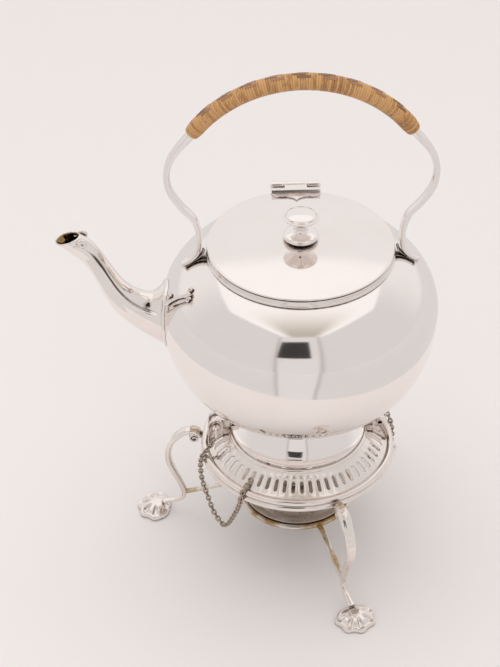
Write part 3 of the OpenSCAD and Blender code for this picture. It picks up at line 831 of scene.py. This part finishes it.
for k in range(3):
    leg = "leg_%d" % (k + 1)
    C = even(cr(LEG, 12), 150)
    P = turned(np.stack([C[:, 0], 0 * C[:, 0], C[:, 1]], 1), TURN[k])
    a = math.radians(TURN[k])
    side = (-math.sin(a), math.cos(a), 0)
    def sec(i, u, C=C):
        leaf = math.exp(-((u - 0.33) / 0.17) ** 2)
        return leg_sec(C[i, 2], C[i, 3], 0.16 * leaf)
    put(sweep(leg + "_body", P, sec, plate_cast, side=side), "stand", "silver_plate", leg)
    # the upper end forks round an eye under the rim,
    # and a leaf lies on the outer side down to a step above the ankle
    Q = []
    for j in range(60):
        t = math.radians(75 - 430 * j / 59)
        r = 3.0 * (1 - 0.72 * j / 59)
        Q.append((64.4 + r * math.cos(t), 0, 64.6 + r * math.sin(t)))
    Qt = turned(np.array(Q), TURN[k])
    def ssec(i, u):
        return oval(0.95 - 0.3 * u, 2.3, 20, 2.6)
    put(sweep(leg + "_scroll", Qt, ssec, plate_cast, side=side), "stand", "silver_plate", leg)
    for s, tip in ((-1, "_tip_a"), (1, "_tip_b")):
        Q = cr([[61.0, s * 1.4, 66.4], [63.6, s * 2.2, 68.4], [68, s * 2.5, 69.4], [73.2, s * 2.5, 66.4],
                [77.6, s * 2.2, 60.6],
                [80.2, s * 1.4, 54.6]], 10)
        def ls(i, u):
            e = math.sin(pi * min(1, max(0, u))) ** 0.6
            return oval(0.3 + 0.9 * e, 0.3 + 0.75 * e, 14)
        put(sweep(leg + tip, turned(Q, TURN[k]), ls, plate_cast), "stand", "silver_plate", leg)
    Q = cr([[80.0, 0, 60.0], [82.5, 0, 52.6], [82.7, 0, 44.4], [80.6, 0, 36.6], [78.4, 0, 31.6]], 12)
    def hs(i, u):
        e = math.sin(pi * min(1, u ** 0.8)) ** 0.5 if 0 < u < 1 else 0
        return oval(0.2 + 0.6 * e, 0.3 + 2.5 * e, 20, 2.2)
    put(sweep(leg + "_leaf", turned(Q, TURN[k]), hs, plate_cast, side=side), "stand", "silver_plate", leg)
    Q = cr([[61.4, 0, 70.4], [63.2, 0, 71.6], [65.4, 0, 71.9], [66.6, 0, 71.2]], 8)
    o = sweep(leg + "_lug", turned(Q, TURN[k]), lambda i, u: oval(1.1, 2.2, 18, 2.6), gilt, side=side)
    put(o, "stand", "silver_plate", leg)
    Q = even(cr(STRUT, 8), 50)
    Pq = turned(np.stack([Q[:, 0], 0 * Q[:, 0], Q[:, 1]], 1), TURN[k])
    def ts(i, u, Q=Q):
        return oval(Q[i, 2] / 2 * 0.95, 1.7, 20, 2.8)
    put(sweep("strut_%d_bar" % (k + 1), Pq, ts, gilt, side=side), "stand", "worn_plate", "strut_%d" % (k + 1))
    # shell foot: six ribs that fan out from the ankle, hollows between them
    NR, NA = 44, 200
    V, F = [], []
    ribs = 5
    span = math.radians(236)
    for i in range(NR + 1):
        f = i / NR
        for j in range(NA):
            ph = 2 * pi * j / NA
            p0 = (ph + pi) % (2 * pi) - pi           # 0 points outwards
            fan = max(0.0, 1 - (abs(p0) / (span / 2)) ** 6)
            lob = 0.5 + 0.5 * math.cos(p0 * 2 * pi / (span / ribs))
            edge = 11.4 + 1.5 * lob * fan - 3.4 * max(0, (abs(p0) - 1.9) / 1.24) ** 1.2
            edge *= 1 - 0.02 * math.cos(p0)
            r = edge * f
            dome = 5.6 * (1 - f ** 2.0) ** 0.7 + 1.1
            tear = math.exp(-(max(0, abs(f - 0.62) - 0.10) / 0.13) ** 2)
            tear *= math.exp(-((1 - lob) / (0.10 + 0.5 * f)) ** 2) * fan
            hgt = dome - 2.1 * tear + 0.25 * math.sin(pi * f)
            rim = 0.5 * math.exp(-((f - 0.93) / 0.05) ** 2)
            V.append((90.6 + r * math.cos(p0), r * math.sin(p0), max(0.9, hgt + rim)))
    for i in range(NR):
        for j in range(NA):
            q = (j + 1) % NA
            if i == 0:
                F.append((j, NA + j, NA + q))
            else:
                F.append((i * NA + j, (i + 1) * NA + j, (i + 1) * NA + q, i * NA + q))
    nv = len(V)
    for j in range(NA):
        x, y, _ = V[NR * NA + j]
        V.append((x, y, 0.25))
    for j in range(NA):
        x, y, _ = V[NR * NA + j]
        V.append((90.6 + (x - 90.6) * 0.97, y * 0.97, 0.0))
    for j in range(NA):
        q = (j + 1) % NA
        F.append((NR * NA + j, nv + j, nv + q, NR * NA + q))
        F.append((nv + j, nv + NA + j, nv + NA + q, nv + q))
    F.append(tuple(nv + NA + j for j in range(NA - 1, -1, -1)))
    V = turned(np.array(V), TURN[k])
    o = make("foot_%d_shell" % (k + 1), V, F, plate_cast, flat=75)
    put(o, "stand", "silver_plate", "foot_%d" % (k + 1))

# ---------- lamp ring and lamp ----------
P = arc(34.6, 28.9, 1.7, -100, 100, 16) + arc(32.6, 30.1, 0.6, 90, 180, 5) + arc(32.6, 27.9, 0.6, 180, 270, 5)
put(lathe("lamp_ring_band", P, gilt, 200, flat=60), "stand", "worn_plate", "lamp_ring")
P = [(0, 13.6)] + curve([[4, 13.6], [12, 14.2], [20, 17.3], [26.8, 21.9], [29.4, 24.8], [29.9, 27.5]], 6)
P += [(29.9, 30.6), (30.6, 31.05), (33.2, 31.05)]
P += arc(33.3, 31.65, 0.6, -90, 90, 8) + [(31.6, 32.5), (30.2, 33.3)]
P += curve([[29.4, 34.2], [26, 35.7], [20, 37.4], [14, 38.7], [10, 39.4]], 5)
P += [(9.2, 39.8), (9.0, 41.0), (7.7, 41.0), (7.6, 38.6), (14, 37.4), (24, 34.8), (28.4, 32.4), (28.5, 27),
      (26, 23.2),
      (19.4, 18.8), (11.8, 15.6), (0, 15.1)]
put(lathe("lamp_body", P, plate_old, 160, closed=False, flat=45), "lamp", "lamp_plate", "lamp_reservoir")
P = [(3.7, 22), (4.7, 22), (4.8, 36), (7.3, 36), (7.3, 41.0), (9.3, 41.1), (9.4, 42.3), (5.2, 42.5),
     (4.8, 43), (4.8, 48.7),
     (4.5, 49), (3.9, 49), (3.7, 48.7)]
put(lathe("lamp_burner_tube", P, gilt, 72, flat=30), "lamp", "worn_plate", "lamp_burner")
P = [(0, 16), (3.2, 16), (3.4, 16.4), (3.4, 50.3), (3.0, 50.9), (2, 51.0), (0, 50.7)]
put(lathe("lamp_wick_bundle", P, wick, 40, closed=False, flat=50), "lamp", "wick", "lamp_wick")
P = [(9.1, 42.95), (10.1, 42.95), (10.25, 43.4), (10.0, 44.0), (10.1, 44.6), (10.1, 50)]
P += curve([[10.0, 50.4], [9.2, 52.4], [7.4, 54.0], [4, 55.2], [1.6, 55.6]], 5)
P += [(1.3, 56.0), (1.3, 56.4)] + arc(0, 57.0, 1.5, -30, 80, 7) + [(0, 58.0)]
P2 = [(0, 54.4), (3.8, 54.0), (7.8, 52.2), (9.05, 49.6)]
put(lathe("lamp_snuffer_cap", P + P2, plate, 72, flat=50), "snuffer", "silver_plate", "lamp_snuffer")

# ---------- pins ----------
def ring_of(name, c, R, r, mat, body):
    """A round wire ring in the plane across X."""
    n = 60
    t = np.linspace(0, 2 * pi, n, endpoint=False)
    P = np.stack([0 * t, R * np.cos(t), R * np.sin(t)], 1) + c
    T = np.roll(P, -1, 0) - np.roll(P, 1, 0)
    T /= np.linalg.norm(T, axis=1)[:, None]
    C = P.mean(0)
    V, m = [], 14
    for i in range(n):
        N = P[i] - C
        N -= T[i] * (N @ T[i])
        N /= np.linalg.norm(N)
        S = np.cross(T[i], N)
        for q in range(m):
            b = 2 * pi * q / m
            V.append(P[i] + r * (math.cos(b) * N + math.sin(b) * S))
    return put(make(name, V, loop_faces(n, m), mat), body, "silver_plate", body)


def turned_pin(name, c, dirn, y1, sh0, sh1, body):
    """A round pin along Y with a shoulder and a tapered end."""
    pr = [(0, sh0 - 0.9), (1.1, sh0 - 0.8), (1.5, sh0 - 0.3), (2.0, sh0), (2.2, sh0 + 0.2),
          (2.2, sh1 - 0.2), (2.0, sh1), (1.25, sh1 + 0.02),
          (1.25, y1 - 1.2), (1.05, y1 - 0.4), (0.6, y1), (0, y1)]
    o = lathe(name, pr, plate_cast, 40, closed=False, flat=40)
    # lathe turns about Z: lay it along Y
    R = Matrix.Rotation(math.radians(-90 if dirn > 0 else 90), 4, "X")
    o.matrix_world = Matrix.Translation(Vector(c) * 0.001) @ R
    return put(o, body, "silver_plate", body)


turned_pin("pivot_pin_shank", (-50, 0, 87), 1, 5.5, -7.0, -5.15, "pivot_pin")
ring_of("pivot_pin_ring", np.array([-50, -10.9, 87.0]), 3.1, 0.7, plate_cast, "pivot_pin")
BACK_Y = 8.4                # the locking pin is drawn back clear of its tongue
turned_pin("lock_pin_shank", (50, BACK_Y, 87), -1, 5.5, -7.0, -5.15, "lock_pin")
ring_of("lock_pin_ring", np.array([50, 10.9 + BACK_Y, 87.0]), 3.1, 0.7, plate_cast, "lock_pin")

# ---------- chains ----------
PIVOT_HEAD = [[53.6, 15.0, 83.0], [55.6, 14.8, 79.6], [58.6, 14.2, 75.6]]
LOCK_HEAD = [[56.0, 19.9, 84.2], [57.2, 19.6, 81.6], [59.2, 17.6, 76.4]]
HANG = [[60.6, 13.6, 72.0], [61.2, 12.6, 67.4], [61.4, 11.6, 61.6], [60.8, 12.9, 51], [59, 17.2, 41.9],
        [57.6, 22.9, 33.6], [56.6, 30, 29.9], [56.2, 36.4, 31], [57, 45.9, 48.6], [59.4, 51.5, 62.2],
        [61.0, 53.1, 67.6], [60.6, 53.6, 71.2], [59.2, 54, 73.8], [57, 54.1, 74.9], [54, 54.1, 76.2],
        [51.8, 54.1, 77.0], [50.6, 54.1, 76.4]]      # radius, turn from the lug in degrees, height


def hang(q, keep):
    a = math.radians(q[1] if q[1] < 20 else 20 + (q[1] - 20) * keep)
    return [-q[0] * math.cos(a), -q[0] * math.sin(a), q[2]]


LINK_PITCH = 2.36
LINK_HALF = (1.66, 1.22)                 # half length and half width
LINK_WIRE = 0.47


def fuller(v):
    """A cosine or sine drawn outwards, for links rounder than an ellipse."""
    return math.copysign(abs(v) ** 0.85, v)


def links(path, flip):
    P = even(cr([hang(q, 0.645 if flip else 1) for q in path], 16), 2000)
    if flip:
        P = P * [-1, -1, 1]
    n = int(np.linalg.norm(np.diff(P, axis=0), axis=1).sum() / LINK_PITCH)
    Q = even(P, n + 1)
    V, F = [], []
    m, ns = 28, 10
    up = np.array([0.2, 0.35, 0.9])
    prev = None
    for i in range(n):
        a, b = Q[i], Q[i + 1]
        d = (b - a) / np.linalg.norm(b - a)
        prev = up if prev is None else prev
        e = prev - d * (prev @ d)
        e /= np.linalg.norm(e)
        prev = e
        f = np.cross(d, e)
        tw = math.radians(90 * (i % 2) + 40 + rng.uniform(-9, 9))
        s1 = e * math.cos(tw) + f * math.sin(tw)
        s2 = np.cross(d, s1)
        c = (a + b) / 2
        hl, hw = LINK_HALF
        base = len(V)
        ring = []
        for j in range(m):
            t = 2 * pi * j / m
            ring.append(c + d * (hl * fuller(math.cos(t))) + s1 * (hw * fuller(math.sin(t))))
        ring = np.array(ring)
        T = np.roll(ring, -1, 0) - np.roll(ring, 1, 0)
        T /= np.linalg.norm(T, axis=1)[:, None]
        for j in range(m):
            N = np.cross(T[j], s2)
            for q in range(ns):
                b2 = 2 * pi * q / ns
                V.append(ring[j] + LINK_WIRE * (math.cos(b2) * N + math.sin(b2) * s2))
        F += loop_faces(m, ns, base)
    return V, F


chain_mat = silver("chain_plate", (0.50, 0.42, 0.35), (0.07, 0.04, 0.02), rough=(0.2, 0.36), grime=1.0,
                   stain=1.0, reach=0.0015,
                   scratch=0.2)
for flip, nm in ((False, "pivot"), (True, "lock")):
    V, F = links((LOCK_HEAD if flip else PIVOT_HEAD) + HANG, flip)
    o = make(nm + "_chain_links", V, F, chain_mat)
    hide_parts(nm + "_chain")
    # the far run of links belongs with the stand, the near one with its pin; here the links stay in one
    # piece, attached to neither, and near is not used
    near = (0.0528, 0.019, 0.0842) if flip else (-0.0535, -0.0125, 0.084)
    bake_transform(o)

# ---------- small CAD pieces that stay as they are ----------
KEEP = {"hinge_pin": plate, "knob_washer": plate_old, "pivot_tongue": plate_cast, "lock_tongue": plate_cast,
        "pivot_lug": plate_cast, "lock_lug": plate_cast}
for n, m in KEEP.items():
    o = nodes[n]
    o.data.materials.clear()
    o.data.materials.append(m)
    weld(o, 0.01)
    round_edges(o, 0.25, 2, 50)

# ---------- studio ----------
def stage_mat(name, col, rough=0.9):
    m, _, p = nt(name)
    p.inputs["Base Color"].default_value = (*col, 1)
    p.inputs["Roughness"].default_value = rough
    p.inputs["Specular IOR Level"].default_value = 0.15
    return m


SHEET = 3000
corners = [(x * SHEET, y * SHEET, 0) for x, y in ((-1, -1), (1, -1), (1, 1), (-1, 1))]
floor = make("floor", corners, [(0, 1, 2, 3)], stage_mat("paper", (0.86, 0.83, 0.82)))

# the tent around the set, drawn by direction:
# grey sides, a lighter back, one broad box overhead, a panel in front
SIDE, BACK, PANEL = 0.74, 0.89, 0.79
sc = bpy.context.scene
wd = bpy.data.worlds.new("tent")
wd.use_nodes = True
W = wd.node_tree


def mth(*args, **kw):
    return calc(W, *args, **kw)


def step(x, e0, e1):
    """0 below e0, 1 above e1, smooth between; e0 above e1 runs the other way."""
    t = mth("MULTIPLY", mth("SUBTRACT", x, e0), 1 / (e1 - e0), clamp=True)
    return mth("MULTIPLY", mth("MULTIPLY", t, t), mth("SUBTRACT", 3.0, mth("MULTIPLY", t, 2.0)))


def both(*m):
    r = m[0]
    for v in m[1:]:
        r = mth("MULTIPLY", r, v)
    return r


def over(a, b, m):
    """b over a, by the mask m"""
    return mth("ADD", mth("MULTIPLY", a, mth("SUBTRACT", 1.0, m)), mth("MULTIPLY", b, m))


sx = W.nodes.new("ShaderNodeSeparateXYZ")
W.links.new(W.nodes.new("ShaderNodeTexCoord").outputs["Generated"], sx.inputs[0])
X, Y, Z = sx.outputs
above = mth("MAXIMUM", Z, 0.05)
right, away = mth("DIVIDE", X, above), mth("DIVIDE", Y, above)
off_right = mth("ABSOLUTE", mth("SUBTRACT", right, 0.02))
half_w = mth("MINIMUM", mth("MULTIPLY_ADD", away, 0.88, 0.815), 0.87)
across = mth("DIVIDE", off_right, mth("MAXIMUM", half_w, 0.05))
near = mth("MAXIMUM", mth("MULTIPLY", Y, -1.0), 0.05)
front_x, front_z = mth("DIVIDE", X, near), mth("DIVIDE", Z, near)
front = step(Y, -0.12, -0.2)
lum = over(SIDE, BACK, both(step(Y, 0.05, 0.6), step(Z, -0.05, 0.15)))
panel_w = mth("MULTIPLY_ADD", mth("MINIMUM", front_z, 1.6), 0.055, 0.32)
inside_edge = mth("SUBTRACT", panel_w, mth("ABSOLUTE", mth("ADD", front_x, 0.07)))
below_top = both(front, step(front_z, 1.62, 1.56))
lum = over(lum, PANEL, both(below_top, step(inside_edge, -0.02, 0.02)))
hem = both(below_top, step(inside_edge, -0.05, 0.0), step(inside_edge, 0.06, 0.01))
lum = mth("MULTIPLY", lum, mth("SUBTRACT", 1.0, mth("MULTIPLY", hem, 0.3)))
lens_x = step(mth("ABSOLUTE", mth("ADD", front_x, 0.14)), 0.27, 0.24)
lens = both(front, lens_x, step(front_z, 0.47, 0.51), step(front_z, 1.30, 1.24))
lum = over(lum, 0.05, lens)
box_x = step(mth("SUBTRACT", half_w, off_right), -0.02, 0.06)
box = both(step(Z, 0.3, 0.4), box_x, step(away, -0.64, -0.58), step(away, 1.24, 1.10))
dim = both(step(away, 0.1, -0.6), step(across, 0.9, 0.4))     # the box is dimmer and warmer at its near end
lum = over(lum, mth("SUBTRACT", 1.04, mth("MULTIPLY", dim, 0.5)), box)
warm = mth("MULTIPLY", dim, box)
tint = W.nodes.new("ShaderNodeCombineColor")
W.links.new(lum, tint.inputs[0])
W.links.new(mth("MULTIPLY", lum, mth("SUBTRACT", 0.972, mth("MULTIPLY", warm, 0.05))), tint.inputs[1])
W.links.new(mth("MULTIPLY", lum, mth("SUBTRACT", 0.963, mth("MULTIPLY", warm, 0.16))), tint.inputs[2])
W.links.new(tint.outputs[0], W.nodes["Background"].inputs["Color"])
W.nodes["Background"].inputs["Strength"].default_value = 1.0
sc.world = wd


def area(name, loc, aim, size, power, col=(1, 0.985, 0.965)):
    d = bpy.data.lights.new(name, "AREA")
    d.shape = "RECTANGLE"
    d.size, d.size_y = size
    d.energy = power
    d.color = col
    o = bpy.data.objects.new(name, d)
    sc.collection.objects.link(o)
    o.location = loc
    v = (Vector(aim) - Vector(loc)).normalized()
    o.rotation_euler = v.to_track_quat("-Z", "Y").to_euler()
    o.visible_glossy = False
    return o


area("softbox_top", (-0.1, 0.15, 1.5), (0, 0.1, 0), (1.3, 1.3), 3.8)
area("softbox_front", (-0.1, -1.2, 1.0), (0, 0, 0), (1.4, 1.0), 2.9)

# beyond the white sheet the table is grey; this shows in the silver only
NA = 96
turns = [2 * pi * j / NA for j in range(NA)]
V = [(-30 + r * math.cos(t), 5 + r * math.sin(t), 0.6) for r in (268, 6000) for t in turns]
F = [(j, (j + 1) % NA, NA + (j + 1) % NA, NA + j) for j in range(NA)]
o = make("grey_surround", V, F, stage_mat("grey_table", (0.0, 0.0, 0.0), 1.0))
G = o.active_material.node_tree
p = G.nodes["Principled BSDF"]
# the panel in front goes on down to the sheet's edge
gx = node(G, "ShaderNodeSeparateXYZ")
G.links.new(node(G, "ShaderNodeTexCoord").outputs["Object"], gx.inputs[0])


def gm(*args):
    return calc(G, *args)


ahead = gm("SUBTRACT", gm("MULTIPLY", gx.outputs[1], -1.0), 0.05)
slope = gm("DIVIDE", gm("ADD", gx.outputs[0], 0.012), gm("MAXIMUM", ahead, 0.05))
off_axis = gm("ABSOLUTE", gm("ADD", slope, 0.07))
off_axis = gm("ADD", off_axis, gm("LESS_THAN", ahead, 0.1))
tones = ((0.25, PANEL), (0.29, 0.54), (0.325, 0.62), (0.35, SIDE))
lit = ramp(G, off_axis, [(q, (v, v * 0.972, v * 0.963)) for q, v in tones])
G.links.new(lit, p.inputs["Emission Color"])
p.inputs["Emission Strength"].default_value = 1.0
for a in ("camera", "diffuse", "transmission", "shadow", "volume_scatter"):
    setattr(o, "visible_" + a, False)


# ---------- camera ----------
cam = bpy.data.cameras.new("camera")
cam.lens = 94.5
cam.sensor_width = 36
cam.sensor_fit = "AUTO"
cam.clip_start = 0.05
co = bpy.data.objects.new("camera", cam)
sc.collection.objects.link(co)
yaw, pitch, roll = 0.0306, math.radians(38.48), -0.005
fwd = Vector((math.sin(yaw) * math.cos(pitch), math.cos(yaw) * math.cos(pitch), -math.sin(pitch)))
rt = fwd.cross(Vector((0, 0, 1))).normalized()
up = rt.cross(fwd)
rt2 = rt * math.cos(roll) + up * math.sin(roll)
up2 = rt2.cross(fwd)
C = Vector((-0.05354, -0.8047, 0.7949))
m3 = Matrix((rt2, up2, -fwd)).transposed()
co.matrix_world = Matrix.Translation(C) @ m3.to_4x4()
sc.camera = co
sc.view_settings.view_transform = "Standard"
